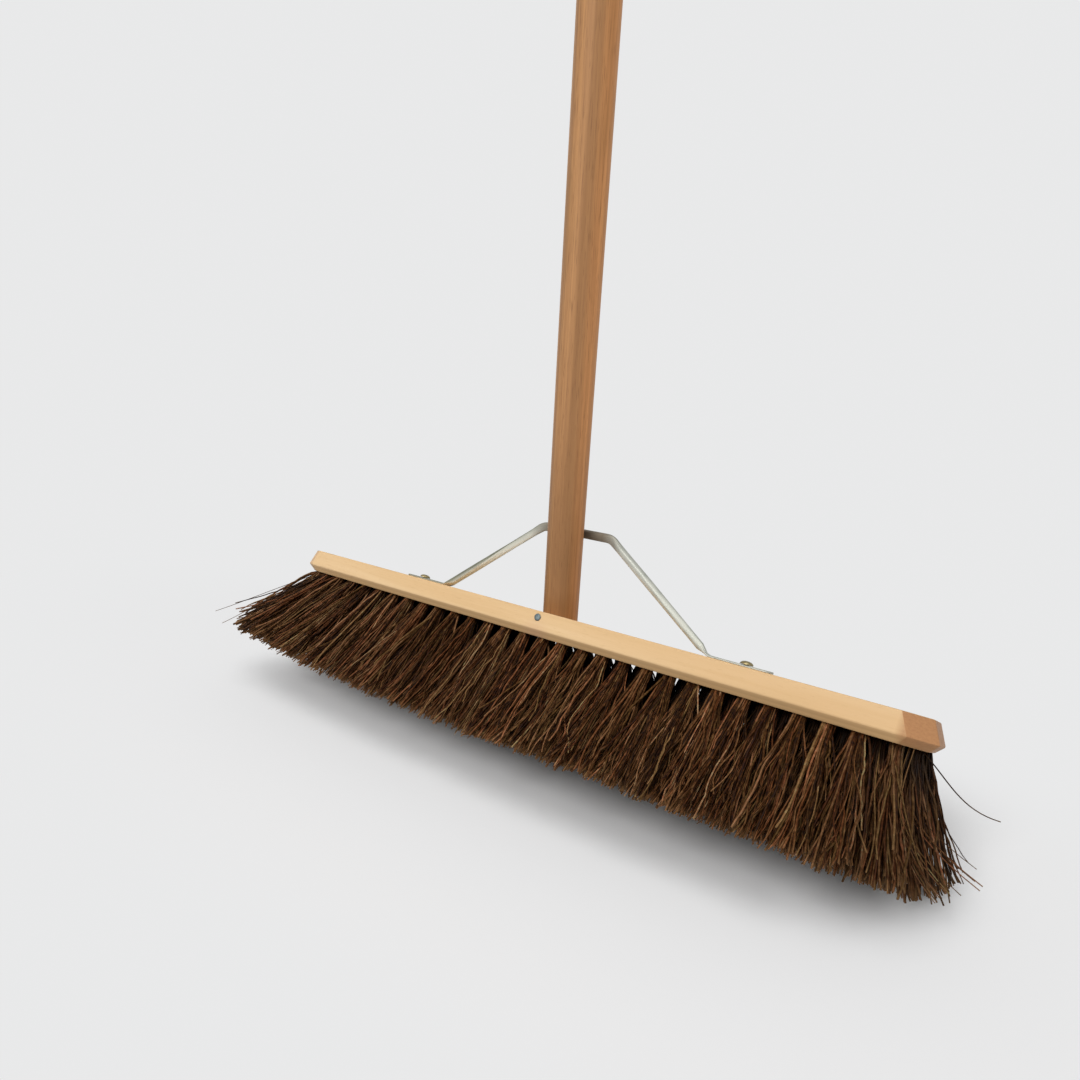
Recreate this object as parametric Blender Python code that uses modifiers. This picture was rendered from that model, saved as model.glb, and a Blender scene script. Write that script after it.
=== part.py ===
"""Wide floor broom: a wooden stock set with natural fibre tufts, a round wooden handle that
leans against the stock's square, and a bent steel stay that braces the handle from behind.

Metres, +Z up. The handle stands upright along Z, the stock runs along X, the bristles' front
faces -Y, and the rear bristle tips touch Z = 0. The origin is under the middle of the bristles.
"""

import math
import random

import bmesh
import bpy
from mathutils import Euler, Matrix, Vector

# What touching pieces keep between them, and how far a cutter runs past the face it opens.
GAP = 0.0003
OVERRUN = 0.004

# Handle
HANDLE_DIAMETER = 0.030
HANDLE_LENGTH = 1.400
HANDLE_SEAT_DEPTH = 0.0105
HANDLE_FOOT_CHAMFER = 0.0008
HANDLE_TOP_RISE = 0.012
LEAN = math.radians(24.1)

# Stock
STOCK_LENGTH = 0.600
STOCK_WIDTH = 0.0705
STOCK_THICKNESS = 0.0210
STOCK_FACE_HEIGHT = 0.0152
STOCK_CHAMFER_INSET = 0.0050
STOCK_END_SLANT = 0.0070
STOCK_CORNER_ALONG = 0.0180
STOCK_CORNER_ACROSS = 0.0130
STOCK_EDGE_ROUND = 0.0009

# Bristle tufts
TUFT_COLUMNS = 30
TUFT_END_MARGIN = 0.0215
TUFT_PITCH = (STOCK_LENGTH - 2 * TUFT_END_MARGIN) / (TUFT_COLUMNS - 1)
SLICE_THICKNESS = 0.0025
SLICE_WIDTH = 0.0560
SLICE_END_WIDTH = 0.0400
OUTER_ROW_OFFSET = 0.0240
INNER_ROW_OFFSET = 0.0082
ROW_STAGGER = TUFT_PITCH / 4
BRISTLE_LENGTH = 0.1045
INNER_BRISTLE_SHORTENING = 0.0045
BRISTLE_FLARE_ACROSS = 0.0480
BRISTLE_FLARE_ALONG = 0.0420
BRISTLE_FLAT_CUT = 0.0005
STRAND_ROOT_OFFSET = 0.0017
STRAND_TIP_ALONG = 0.0046
STRAND_TIP_ACROSS = 0.0092
STRAND_ROOT_RADIUS = 0.0012
STRAND_MIDDLE_RADIUS = 0.0027
STRAND_TIP_RADIUS = 0.0024
STRAND_SCATTER = 0.0012
STRAND_SHORTENING = 0.0040
FLARE_POWER = 3
END_ROWS_SHARE = 0.66
MIDDLE_HEIGHT_SHARE = 0.45
MIDDLE_FLARE_SHARE = 0.34

# Stay
STAY_TUBE_DIAMETER = 0.0065
STAY_FOOT_THICKNESS = 0.0022
STAY_FOOT_WIDTH = 0.0118
STAY_FOOT_LENGTH = 0.0500
STAY_FOOT_BACK = 0.0045
STAY_SPAN = 0.3668
STAY_SADDLE_HEIGHT = 0.0712
STAY_SADDLE_LENGTH = 0.0664
STAY_SADDLE_THICKNESS = 0.0050
STAY_SADDLE_WIDTH = 0.0074
STAY_FOOT_BEND_RADIUS = 0.0100
STAY_SADDLE_BEND_RADIUS = 0.0120
STAY_FLATTENED_RUN = 0.0070
STAY_SECTION_POINTS = 12
STAY_SECTION_POWER = 2.6

# Fasteners
FOOT_SCREW_INSET = 0.0204
FOOT_SCREW_HEAD_DIAMETER = 0.0100
FOOT_SCREW_HEAD_HEIGHT = 0.0028
FOOT_SCREW_SHANK_DIAMETER = 0.0040
FOOT_SCREW_LENGTH = 0.0120
SADDLE_SCREW_HEAD_DIAMETER = 0.0080
SADDLE_SCREW_HEAD_HEIGHT = 0.0024
SADDLE_SCREW_SHANK_DIAMETER = 0.0036
SADDLE_SCREW_LENGTH = 0.0200
SCREW_POINT_LENGTH = 0.0030
SCREW_SLOT_WIDTH = 0.0011
SCREW_SLOT_DEPTH = 0.0010
NAIL_DEPTH_BELOW_TOP = 0.0054
NAIL_HEAD_DIAMETER = 0.0060
NAIL_HEAD_HEIGHT = 0.0012
NAIL_SHANK_DIAMETER = 0.0024
NAIL_LENGTH = 0.0340
NAIL_POINT_LENGTH = 0.0030

ROUND_STEPS = 24
HANDLE_STEPS = 32

WOOD_PALE = (0.78, 0.55, 0.33)
WOOD_BROWN = (0.36, 0.20, 0.11)
FIBRE_BROWN = (0.045, 0.026, 0.016)
STEEL_BRIGHT = (0.62, 0.63, 0.59)
BRASSED_STEEL = (0.30, 0.27, 0.17)
STEEL_BLUE = (0.33, 0.36, 0.38)


def clear_scene():
    for item in list(bpy.data.objects):
        bpy.data.objects.remove(item, do_unlink=True)


def new_collection(name):
    made = bpy.data.collections.new(name)
    bpy.context.scene.collection.children.link(made)
    return made


def make_material(name, colour, roughness, metallic=0.0):
    made = bpy.data.materials.new(name)
    made.use_nodes = True
    shader = made.node_tree.nodes["Principled BSDF"]
    shader.inputs["Base Color"].default_value = (*colour, 1.0)
    shader.inputs["Roughness"].default_value = roughness
    shader.inputs["Metallic"].default_value = metallic
    return made


def object_from_bmesh(name, shape, collection, parent=None):
    mesh = bpy.data.meshes.new(name)
    bmesh.ops.recalc_face_normals(shape, faces=shape.faces[:])
    shape.to_mesh(mesh)
    shape.free()
    made = bpy.data.objects.new(name, mesh)
    collection.objects.link(made)
    made.parent = parent
    return made


def hide_cutter(cutter):
    cutter.hide_render = True
    cutter.display_type = "WIRE"
    return cutter


def boolean(target, cutter, operation):
    modifier = target.modifiers.new(operation.lower() + "_" + cutter.name, "BOOLEAN")
    modifier.operation = operation
    modifier.solver = "EXACT"
    modifier.object = cutter


def cutter_box(name, size, centre, parent=None):
    shape = bmesh.new()
    bmesh.ops.create_cube(shape, size=1.0, matrix=Matrix.Diagonal((*size, 1.0)))
    box = object_from_bmesh(name, shape, CUTTERS, parent)
    box.location = centre
    return hide_cutter(box)


def cutter_cylinder(name, radius, depth, centre, rotation, parent=None):
    shape = bmesh.new()
    bmesh.ops.create_cone(
        shape, cap_ends=True, segments=HANDLE_STEPS, radius1=radius, radius2=radius, depth=depth
    )
    cylinder = object_from_bmesh(name, shape, CUTTERS, parent)
    cylinder.location = centre
    cylinder.rotation_euler = rotation
    return hide_cutter(cylinder)


def turned(name, profile, steps, material, parent=None):
    """A profile of (radius, height) points from top to bottom, turned about its own Z."""
    mesh = bpy.data.meshes.new(name)
    points = [(radius, 0.0, height) for radius, height in profile]
    mesh.from_pydata(points, [(i, i + 1) for i in range(len(points) - 1)], [])
    made = bpy.data.objects.new(name, mesh)
    PARTS.objects.link(made)
    made.parent = parent
    screw = made.modifiers.new("turn", "SCREW")
    screw.steps = steps
    screw.render_steps = steps
    screw.use_merge_vertices = True
    screw.merge_threshold = 0.00001
    screw.use_smooth_shade = True
    made.data.materials.append(material)
    return made


def dome_points(radius, height, top, count):
    """Points of an elliptic dome from its crown down to its rim."""
    points = []
    for i in range(count + 1):
        angle = math.pi / 2 * i / count
        points.append((radius * math.sin(angle), top - height * (1 - math.cos(angle))))
    return points


def screw_profile(head_diameter, head_height, shank_diameter, length, point_length):
    """Head seated at Z = 0, shank down to -length."""
    profile = dome_points(head_diameter / 2, head_height - GAP, head_height, 5)
    profile += [(head_diameter / 2, 0.0), (shank_diameter / 2, 0.0)]
    profile += [(shank_diameter / 2, point_length - length), (0.0, -length)]
    return profile


def head_to_world(point):
    return HEAD_TURN @ Vector(point)


def world_to_head(point):
    return HEAD_TURN.transposed() @ Vector(point)


def tuft_column_x(column):
    return (column - (TUFT_COLUMNS - 1) / 2) * TUFT_PITCH


def is_end_column(column):
    return column in (0, TUFT_COLUMNS - 1)


def strand_places(column):
    """Root and tip of every strand in one column, in the head's frame."""
    rng = random.Random(column)
    centre = tuft_column_x(column)
    reach = abs(tuft_column_x(0))
    crowd = END_ROWS_SHARE if is_end_column(column) else 1.0
    rows = (-OUTER_ROW_OFFSET, -INNER_ROW_OFFSET, INNER_ROW_OFFSET, OUTER_ROW_OFFSET)
    places = []
    for row, across in enumerate(rows):
        stagger = ROW_STAGGER if row % 2 else -ROW_STAGGER
        outer = abs(across) == OUTER_ROW_OFFSET
        spots = [(-1, -1), (1, -1), (-1, 1), (1, 1)] if outer else [(-1, -1), (1, -1), (0, 1)]
        for side, face in spots:
            root = Vector((centre + stagger, across * crowd, -STOCK_THICKNESS))
            root += Vector((side, face, 0.0)) * STRAND_ROOT_OFFSET
            along = (root.x / reach) * abs(root.x / reach) ** (FLARE_POWER - 1)
            lean_x = BRISTLE_FLARE_ALONG * along + side * STRAND_TIP_ALONG
            lean_y = BRISTLE_FLARE_ACROSS * across / OUTER_ROW_OFFSET + face * STRAND_TIP_ACROSS
            rear = across == OUTER_ROW_OFFSET
            loose = 0.0 if rear else 1.0
            lean_x += loose * rng.uniform(-STRAND_SCATTER, STRAND_SCATTER)
            lean_y += loose * rng.uniform(-STRAND_SCATTER, STRAND_SCATTER)
            trim = 0.0 if outer else INNER_BRISTLE_SHORTENING
            length = BRISTLE_LENGTH - trim - loose * rng.uniform(0.0, STRAND_SHORTENING)
            drop = math.sqrt(length**2 - lean_x**2 - lean_y**2)
            places.append((root, Vector((lean_x, lean_y, -drop))))
    return places


def add_strand(shape, root, lean):
    """One three-sided strand, starting inside its slice and bending outwards."""
    middle = Vector((lean.x * MIDDLE_FLARE_SHARE, lean.y * MIDDLE_FLARE_SHARE,
                     lean.z * MIDDLE_HEIGHT_SHARE))
    inside = Vector((0.0, 0.0, SLICE_THICKNESS / 2))
    stations = (
        (root + inside, inside * -1, STRAND_ROOT_RADIUS),
        (root + middle, lean, STRAND_MIDDLE_RADIUS),
        (root + lean, lean - middle, STRAND_TIP_RADIUS),
    )
    rings = []
    for centre, heading, radius in stations:
        turn = Vector((0.0, 0.0, -1.0)).rotation_difference(heading)
        ring = []
        for corner in range(3):
            angle = 2 * math.pi * corner / 3
            offset = Vector((radius * math.cos(angle), radius * math.sin(angle), 0.0))
            ring.append(shape.verts.new(centre + turn @ offset))
        rings.append(ring)
    for upper, lower in zip(rings, rings[1:]):
        for corner in range(3):
            following = (corner + 1) % 3
            shape.faces.new((upper[corner], upper[following], lower[following], lower[corner]))
    shape.faces.new(rings[0][::-1])
    shape.faces.new(rings[-1])


def make_tuft_column(column, head, floor):
    name = f"bristle_column_{column + 1:02d}"
    width = SLICE_END_WIDTH if is_end_column(column) else SLICE_WIDTH
    shape = bmesh.new()
    size = (TUFT_PITCH - GAP, width, SLICE_THICKNESS)
    bmesh.ops.create_cube(shape, size=1.0, matrix=Matrix.Diagonal((*size, 1.0)))
    middle = Vector((tuft_column_x(column), 0.0, SLICE_THICKNESS / 2 - STOCK_THICKNESS))
    bmesh.ops.translate(shape, verts=shape.verts[:], vec=middle)
    made = object_from_bmesh(name, shape, PARTS, head)
    made.data.materials.append(MATERIALS["fibre"])
    strands = bmesh.new()
    for root, lean in strand_places(column):
        add_strand(strands, root, lean)
    guide = hide_cutter(object_from_bmesh(name + "_strands", strands, CUTTERS, head))
    boolean(made, guide, "UNION")
    boolean(made, floor, "DIFFERENCE")
    return made


def tip_reach():
    """How far the strand tips reach forwards, backwards and down from the stock's top middle."""
    tips = []
    for column in range(TUFT_COLUMNS):
        tips += [head_to_world(root + lean) for root, lean in strand_places(column)]
    front = min(tip.y for tip in tips)
    back = max(tip.y for tip in tips)
    return front, back, min(tip.z for tip in tips)


def stock_outline(half_length, half_width):
    """Plan outline with its four corners cut, run once round."""
    along = half_length - STOCK_CORNER_ALONG
    across = half_width - STOCK_CORNER_ACROSS
    quarter = [(half_length, across), (along, half_width)]
    outline = []
    for sign_x, sign_y in ((1, 1), (-1, 1), (-1, -1), (1, -1)):
        corner = [(sign_x * x, sign_y * y) for x, y in quarter]
        outline += corner if sign_x * sign_y > 0 else corner[::-1]
    return outline


def make_stock(head):
    half_length = STOCK_LENGTH / 2
    half_width = STOCK_WIDTH / 2
    levels = (
        (0.0, half_length - STOCK_END_SLANT, half_width),
        (-STOCK_FACE_HEIGHT, half_length, half_width),
        (-STOCK_THICKNESS, half_length - STOCK_CHAMFER_INSET, half_width - STOCK_CHAMFER_INSET),
    )
    shape = bmesh.new()
    rings = []
    for height, length, width in levels:
        rings.append([shape.verts.new((x, y, height)) for x, y in stock_outline(length, width)])
    for upper, lower in zip(rings, rings[1:]):
        for i in range(len(upper)):
            j = (i + 1) % len(upper)
            shape.faces.new((upper[i], upper[j], lower[j], lower[i]))
    shape.faces.new(rings[0])
    shape.faces.new(rings[-1][::-1])
    stock = object_from_bmesh("stock", shape, PARTS, head)
    stock.data.materials.append(MATERIALS["pale_wood"])
    rounding = stock.modifiers.new("rounded_edges", "BEVEL")
    rounding.width = STOCK_EDGE_ROUND
    rounding.segments = 2
    rounding.limit_method = "ANGLE"
    rounding.angle_limit = math.radians(15)
    pocket_height = SLICE_THICKNESS + GAP + OVERRUN
    pocket_middle = SLICE_THICKNESS + GAP - STOCK_THICKNESS - pocket_height / 2
    reach = TUFT_COLUMNS * TUFT_PITCH + GAP
    main_reach = (TUFT_COLUMNS - 2) * TUFT_PITCH + GAP
    pockets = (
        ("tuft_pocket_wide", main_reach, SLICE_WIDTH + 2 * GAP),
        ("tuft_pocket_long", reach, SLICE_END_WIDTH + 2 * GAP),
    )
    for name, length, width in pockets:
        size = (length, width, pocket_height)
        boolean(stock, cutter_box(name, size, (0.0, 0.0, pocket_middle), head), "DIFFERENCE")
    return stock


def cut_handle_hole(stock, head):
    depth = HANDLE_SEAT_DEPTH + GAP
    rise = HANDLE_DIAMETER + OVERRUN
    centre = Vector((0.0, 0.0, (rise - depth) / 2))
    radius = HANDLE_DIAMETER / 2 + GAP
    hole = cutter_cylinder(
        "handle_hole", radius, depth + rise, world_to_head(centre), Euler((LEAN, 0.0, 0.0)), head
    )
    boolean(stock, hole, "DIFFERENCE")


def make_handle(seat):
    radius = HANDLE_DIAMETER / 2
    profile = dome_points(radius, HANDLE_TOP_RISE, HANDLE_LENGTH, 6)
    profile += [(radius, HANDLE_FOOT_CHAMFER), (radius - HANDLE_FOOT_CHAMFER, 0.0), (0.0, 0.0)]
    handle = turned("handle", profile, HANDLE_STEPS, MATERIALS["brown_wood"])
    handle.location = seat - Vector((0.0, 0.0, HANDLE_SEAT_DEPTH))
    return handle


def arc_between(corner, before, after, radius, count):
    """Points and headings of a fillet at a corner of a path."""
    enter = (corner - before).normalized()
    leave = (after - corner).normalized()
    turn = enter.angle(leave)
    setback = radius * math.tan(turn / 2)
    start = corner - enter * setback
    normal = (leave - enter * enter.dot(leave)).normalized()
    centre = start + normal * radius
    stations = []
    for i in range(count + 1):
        angle = turn * i / count
        point = centre - normal * radius * math.cos(angle) + enter * radius * math.sin(angle)
        heading = enter * math.cos(angle) + normal * math.sin(angle)
        stations.append((point, heading.normalized()))
    return stations


def section_size(foot_share, saddle_share):
    """Half width and half thickness, blended between the round tube and its flattened runs."""
    tube = STAY_TUBE_DIAMETER / 2
    wide = tube + foot_share * (STAY_FOOT_WIDTH / 2 - tube)
    wide += saddle_share * (STAY_SADDLE_WIDTH / 2 - tube)
    thick = tube + foot_share * (STAY_FOOT_THICKNESS / 2 - tube)
    thick += saddle_share * (STAY_SADDLE_THICKNESS / 2 - tube)
    return wide, thick


def ease(value):
    value = min(max(value, 0.0), 1.0)
    return value * value * (3 - 2 * value)


def stay_key_points():
    """Foot end, foot bend, saddle bend and saddle middle of the right half, in the head's frame."""
    foot_height = GAP + STAY_FOOT_THICKNESS / 2
    foot_end = Vector((STAY_SPAN / 2, STAY_FOOT_BACK, foot_height))
    foot_bend = foot_end - Vector((STAY_FOOT_LENGTH, 0.0, 0.0))
    back = HANDLE_DIAMETER / 2 + GAP + STAY_SADDLE_THICKNESS / 2
    saddle = world_to_head((0.0, back, STAY_SADDLE_HEIGHT))
    saddle_bend = saddle + Vector((STAY_SADDLE_LENGTH / 2, 0.0, 0.0))
    return foot_end, foot_bend, saddle_bend, saddle


def stay_half_stations():
    """Centre, heading, flat direction and section size from the foot's end to the saddle."""
    foot_end, foot_bend, saddle_bend, saddle = stay_key_points()
    inward = Vector((-1.0, 0.0, 0.0))
    path = []
    round_end = STAY_FOOT_WIDTH / 2
    for i in range(5):
        angle = math.pi / 2 * i / 4
        point = foot_end + inward * round_end * (1 - math.cos(angle))
        path.append((point, inward, max(math.sin(angle), 0.18)))
    lower_arc = arc_between(foot_bend, foot_end, saddle_bend, STAY_FOOT_BEND_RADIUS, 5)
    upper_arc = arc_between(saddle_bend, foot_bend, saddle, STAY_SADDLE_BEND_RADIUS, 6)
    path.append(((path[-1][0] + lower_arc[0][0]) / 2, inward, 1.0))
    path += [(point, heading, 1.0) for point, heading in lower_arc]
    leg_start, leg_heading = lower_arc[-1]
    leg_end = upper_arc[0][0]
    leg_length = (leg_end - leg_start).length
    flattened = STAY_FLATTENED_RUN / leg_length
    for i in range(11):
        share = flattened + (1 - 2 * flattened) * i / 10
        path.append((leg_start.lerp(leg_end, share), leg_heading, 1.0))
    path += [(point, heading, 1.0) for point, heading in upper_arc]
    path.append(((upper_arc[-1][0] + saddle) / 2, inward, 1.0))
    path.append((saddle, inward, 1.0))
    foot_up = Vector((0.0, 0.0, 1.0))
    saddle_out = world_to_head((0.0, 1.0, 0.0))
    stations = []
    for point, heading, end_share in path:
        climbed = (point - leg_start).dot(leg_heading)
        foot_share = 1 - ease(climbed / STAY_FLATTENED_RUN)
        saddle_share = ease((climbed - leg_length) / STAY_FLATTENED_RUN + 1)
        turned_share = ease(climbed / leg_length)
        flat = foot_up.lerp(saddle_out, turned_share)
        flat = (flat - heading * flat.dot(heading)).normalized()
        wide, thick = section_size(foot_share, saddle_share)
        stations.append((point, heading, flat, wide * end_share, thick))
    return stations


def section_ring(shape, station):
    point, heading, flat, wide, thick = station
    across = heading.cross(flat)
    ring = []
    for i in range(STAY_SECTION_POINTS):
        angle = 2 * math.pi * (i + 0.5) / STAY_SECTION_POINTS
        cosine = math.cos(angle)
        sine = math.sin(angle)
        u = math.copysign(abs(cosine) ** (2 / STAY_SECTION_POWER), cosine)
        v = math.copysign(abs(sine) ** (2 / STAY_SECTION_POWER), sine)
        ring.append(shape.verts.new(point + across * wide * u + flat * thick * v))
    return ring


def mirrored(station):
    point, heading, flat, wide, thick = station
    flip = Vector((-1.0, 1.0, 1.0))
    back = Vector((heading.x, -heading.y, -heading.z))
    return (point * flip, back, flat * flip, wide, thick)


def make_stay(head):
    right = stay_half_stations()
    left = [mirrored(station) for station in right[:-1]]
    shape = bmesh.new()
    rings = [section_ring(shape, station) for station in right + left[::-1]]
    for first, second in zip(rings, rings[1:]):
        for i in range(STAY_SECTION_POINTS):
            j = (i + 1) % STAY_SECTION_POINTS
            shape.faces.new((first[i], first[j], second[j], second[i]))
    shape.faces.new(rings[0][::-1])
    shape.faces.new(rings[-1])
    stay = object_from_bmesh("stay", shape, PARTS, head)
    stay.data.materials.append(MATERIALS["bright_steel"])
    stay.data.shade_smooth()
    stay.data.set_sharp_from_angle(angle=math.radians(50))
    return stay


def place_turned(made, origin, rotation):
    made.location = origin
    made.rotation_euler = rotation
    return made


def cut_slot(screw, name, head_diameter, head_height):
    """A straight driver slot across a screw's head, set in the screw's own frame."""
    size = (head_diameter + OVERRUN, SCREW_SLOT_WIDTH, SCREW_SLOT_DEPTH + OVERRUN)
    centre = (0.0, 0.0, head_height + OVERRUN / 2 - SCREW_SLOT_DEPTH / 2)
    boolean(screw, cutter_box(name, size, centre, screw), "DIFFERENCE")


def make_foot_screws(stock, stay, head):
    foot_top = 2 * GAP + STAY_FOOT_THICKNESS
    length = FOOT_SCREW_LENGTH + foot_top
    profile = screw_profile(
        FOOT_SCREW_HEAD_DIAMETER, FOOT_SCREW_HEAD_HEIGHT, FOOT_SCREW_SHANK_DIAMETER, length,
        SCREW_POINT_LENGTH
    )
    for side, word in ((-1, "left"), (1, "right")):
        x = side * (STAY_SPAN / 2 - FOOT_SCREW_INSET)
        origin = (x, STAY_FOOT_BACK, foot_top)
        screw = turned(f"foot_screw_{word}", profile, ROUND_STEPS, MATERIALS["brassed_steel"], head)
        place_turned(screw, origin, Euler((0.0, 0.0, side * math.radians(35))))
        cut_slot(screw, f"foot_screw_slot_{word}", FOOT_SCREW_HEAD_DIAMETER, FOOT_SCREW_HEAD_HEIGHT)
        depth = length + GAP + OVERRUN
        centre = (x, STAY_FOOT_BACK, foot_top + OVERRUN - depth / 2)
        radius = FOOT_SCREW_SHANK_DIAMETER / 2 + GAP
        hole = cutter_cylinder(f"foot_screw_hole_{word}", radius, depth, centre, Euler(), head)
        boolean(stock, hole, "DIFFERENCE")
        boolean(stay, hole, "DIFFERENCE")


def make_saddle_screw(handle, stay, seat):
    back = HANDLE_DIAMETER / 2 + 2 * GAP + STAY_SADDLE_THICKNESS
    profile = screw_profile(
        SADDLE_SCREW_HEAD_DIAMETER, SADDLE_SCREW_HEAD_HEIGHT, SADDLE_SCREW_SHANK_DIAMETER,
        SADDLE_SCREW_LENGTH, SCREW_POINT_LENGTH
    )
    screw = turned("saddle_screw", profile, ROUND_STEPS, MATERIALS["brassed_steel"])
    outward = Euler((-math.pi / 2, 0.0, 0.0))
    place_turned(screw, seat + Vector((0.0, back, STAY_SADDLE_HEIGHT)), outward)
    cut_slot(screw, "saddle_screw_slot", SADDLE_SCREW_HEAD_DIAMETER, SADDLE_SCREW_HEAD_HEIGHT)
    depth = SADDLE_SCREW_LENGTH + GAP + OVERRUN
    centre = seat + Vector((0.0, back + OVERRUN - depth / 2, STAY_SADDLE_HEIGHT))
    radius = SADDLE_SCREW_SHANK_DIAMETER / 2 + GAP
    hole = cutter_cylinder("saddle_screw_hole", radius, depth, centre, outward)
    boolean(stay, hole, "DIFFERENCE")
    boolean(handle, hole, "DIFFERENCE")


def make_nail(stock, handle, head):
    front = -STOCK_WIDTH / 2
    profile = dome_points(NAIL_HEAD_DIAMETER / 2, NAIL_HEAD_HEIGHT - GAP, NAIL_HEAD_HEIGHT, 4)
    profile += [(NAIL_HEAD_DIAMETER / 2, 0.0), (NAIL_SHANK_DIAMETER / 2, 0.0)]
    profile += [(NAIL_SHANK_DIAMETER / 2, NAIL_POINT_LENGTH - NAIL_LENGTH), (0.0, -NAIL_LENGTH)]
    nail = turned("locking_nail", profile, ROUND_STEPS, MATERIALS["blued_steel"], head)
    outward = Euler((math.pi / 2, 0.0, 0.0))
    place_turned(nail, (0.0, front - GAP, -NAIL_DEPTH_BELOW_TOP), outward)
    depth = NAIL_LENGTH + GAP + OVERRUN
    centre = (0.0, front - OVERRUN + depth / 2, -NAIL_DEPTH_BELOW_TOP)
    radius = NAIL_SHANK_DIAMETER / 2 + GAP
    hole = cutter_cylinder("nail_hole", radius, depth, centre, outward, head)
    boolean(stock, hole, "DIFFERENCE")
    boolean(handle, hole, "DIFFERENCE")


def make_floor_cutter(reach):
    size = (STOCK_LENGTH + 2 * reach, STOCK_WIDTH + 4 * reach, 2 * OVERRUN)
    return cutter_box("floor_cut", size, (0.0, 0.0, -OVERRUN))


def build():
    front, back, lowest = tip_reach()
    seat = Vector((0.0, -(front + back) / 2, -lowest - BRISTLE_FLAT_CUT))
    head = bpy.data.objects.new("head_frame", None)
    PARTS.objects.link(head)
    head.location = seat
    head.rotation_euler = (-LEAN, 0.0, 0.0)
    floor = make_floor_cutter(BRISTLE_LENGTH)
    stock = make_stock(head)
    cut_handle_hole(stock, head)
    handle = make_handle(seat)
    stay = make_stay(head)
    make_foot_screws(stock, stay, head)
    make_saddle_screw(handle, stay, seat)
    make_nail(stock, handle, head)
    for column in range(TUFT_COLUMNS):
        make_tuft_column(column, head, floor)


clear_scene()
PARTS = new_collection("wide_floor_broom")
CUTTERS = new_collection("cutters")
HEAD_TURN = Matrix.Rotation(-LEAN, 3, "X")
MATERIALS = {
    "pale_wood": make_material("pale_wood", WOOD_PALE, 0.55),
    "brown_wood": make_material("brown_wood", WOOD_BROWN, 0.45),
    "fibre": make_material("fibre", FIBRE_BROWN, 0.60),
    "bright_steel": make_material("bright_steel", STEEL_BRIGHT, 0.35, 1.0),
    "brassed_steel": make_material("brassed_steel", BRASSED_STEEL, 0.45, 1.0),
    "blued_steel": make_material("blued_steel", STEEL_BLUE, 0.40, 1.0),
}
build()
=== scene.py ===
import math

import bpy
import numpy as np
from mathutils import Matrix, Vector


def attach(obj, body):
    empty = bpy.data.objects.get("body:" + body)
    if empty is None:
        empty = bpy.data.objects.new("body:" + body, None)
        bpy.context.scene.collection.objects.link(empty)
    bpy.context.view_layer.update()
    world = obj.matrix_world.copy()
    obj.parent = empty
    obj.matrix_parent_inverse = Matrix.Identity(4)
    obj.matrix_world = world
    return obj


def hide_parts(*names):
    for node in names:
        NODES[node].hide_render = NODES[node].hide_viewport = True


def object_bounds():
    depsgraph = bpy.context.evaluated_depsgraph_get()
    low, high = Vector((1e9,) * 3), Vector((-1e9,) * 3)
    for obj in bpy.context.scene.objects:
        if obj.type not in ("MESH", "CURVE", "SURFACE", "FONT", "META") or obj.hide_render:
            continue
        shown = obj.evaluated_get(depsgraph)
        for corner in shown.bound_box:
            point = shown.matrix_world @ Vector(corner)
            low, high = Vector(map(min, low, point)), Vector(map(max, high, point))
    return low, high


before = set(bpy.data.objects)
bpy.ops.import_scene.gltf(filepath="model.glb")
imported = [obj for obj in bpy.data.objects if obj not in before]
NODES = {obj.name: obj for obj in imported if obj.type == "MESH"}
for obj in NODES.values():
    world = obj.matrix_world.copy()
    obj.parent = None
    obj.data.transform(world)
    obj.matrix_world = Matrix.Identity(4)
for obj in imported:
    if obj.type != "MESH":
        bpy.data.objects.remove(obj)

size_at_load = [list(corner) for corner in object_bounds()]

# The head is a frame leaning back about world X, with its origin at the middle of the stock's top.
LEAN = math.radians(24.1)
SEAT = np.array((0.0, 0.042441, 0.132351))
HEAD_UP = (0.0, math.sin(LEAN), math.cos(LEAN))
HEAD_BACK = (0.0, math.cos(LEAN), -math.sin(LEAN))
UNDERSIDE = -0.0210

# Painted shade and handle reflection on the stay near the saddle; a stain on the stock near the nail.
SADDLE = (0.0, 0.0602, 0.2036)
NAIL = (0.0, 0.0081, 0.1271)

# The slab of wood that the tufts are set in, narrower at its two end columns.
BED_THICKNESS = 0.0021
BED_INSET = 0.00015
BED_HALF_WIDTH = 0.028
BED_END_HALF_WIDTH = 0.020

# Tufts: columns along the stock, and four rows from front to rear.
COLUMNS = 30
PITCH = 0.557 / 29
ROWS = (-0.0240, -0.0082, 0.0082, 0.0240)
END_ROWS_SHARE = 0.66
REAR_ROW_SHIFT = 0.0050
LAST_COLUMN_SHIFT = 0.0028
ROW_SHIFTS = (-PITCH / 4, PITCH / 4, -PITCH / 4, PITCH / 4 + REAR_ROW_SHIFT)
ROW_RADII = (0.0043, 0.0045, 0.0050, 0.0053)
ROW_BOWS = (1.10, 1.06, 0.88, 0.82)
ROW_DROPS = (0.0888, 0.0945, 0.0962, 0.0942)
FLARE_ACROSS = 0.048
FLARE_LEFT = 0.050
FLARE_RIGHT = 0.0215
TUFT_SCATTER_ALONG = 0.0024
END_TUFT_SCATTER_ALONG = 0.0010
TUFT_SCATTER_ACROSS = 0.0018

# How far the tips rise towards the left end, and by the share of the way to the right end.
LEFT_LIFT = 0.012
LIFT_PLACES = (0.0, 0.15, 0.30, 0.66, 0.86, 0.93, 1.0)
LIFTS = (0.0, 0.0030, 0.0036, 0.0044, 0.0056, 0.0040, 0.0030)

# Shares of the way to an end's last column, past which the tufts there differ from the rest.
OUTER_SHARE = 0.86
NEAR_END_SHARE = 0.9
LAST_SHARE = 0.97

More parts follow.
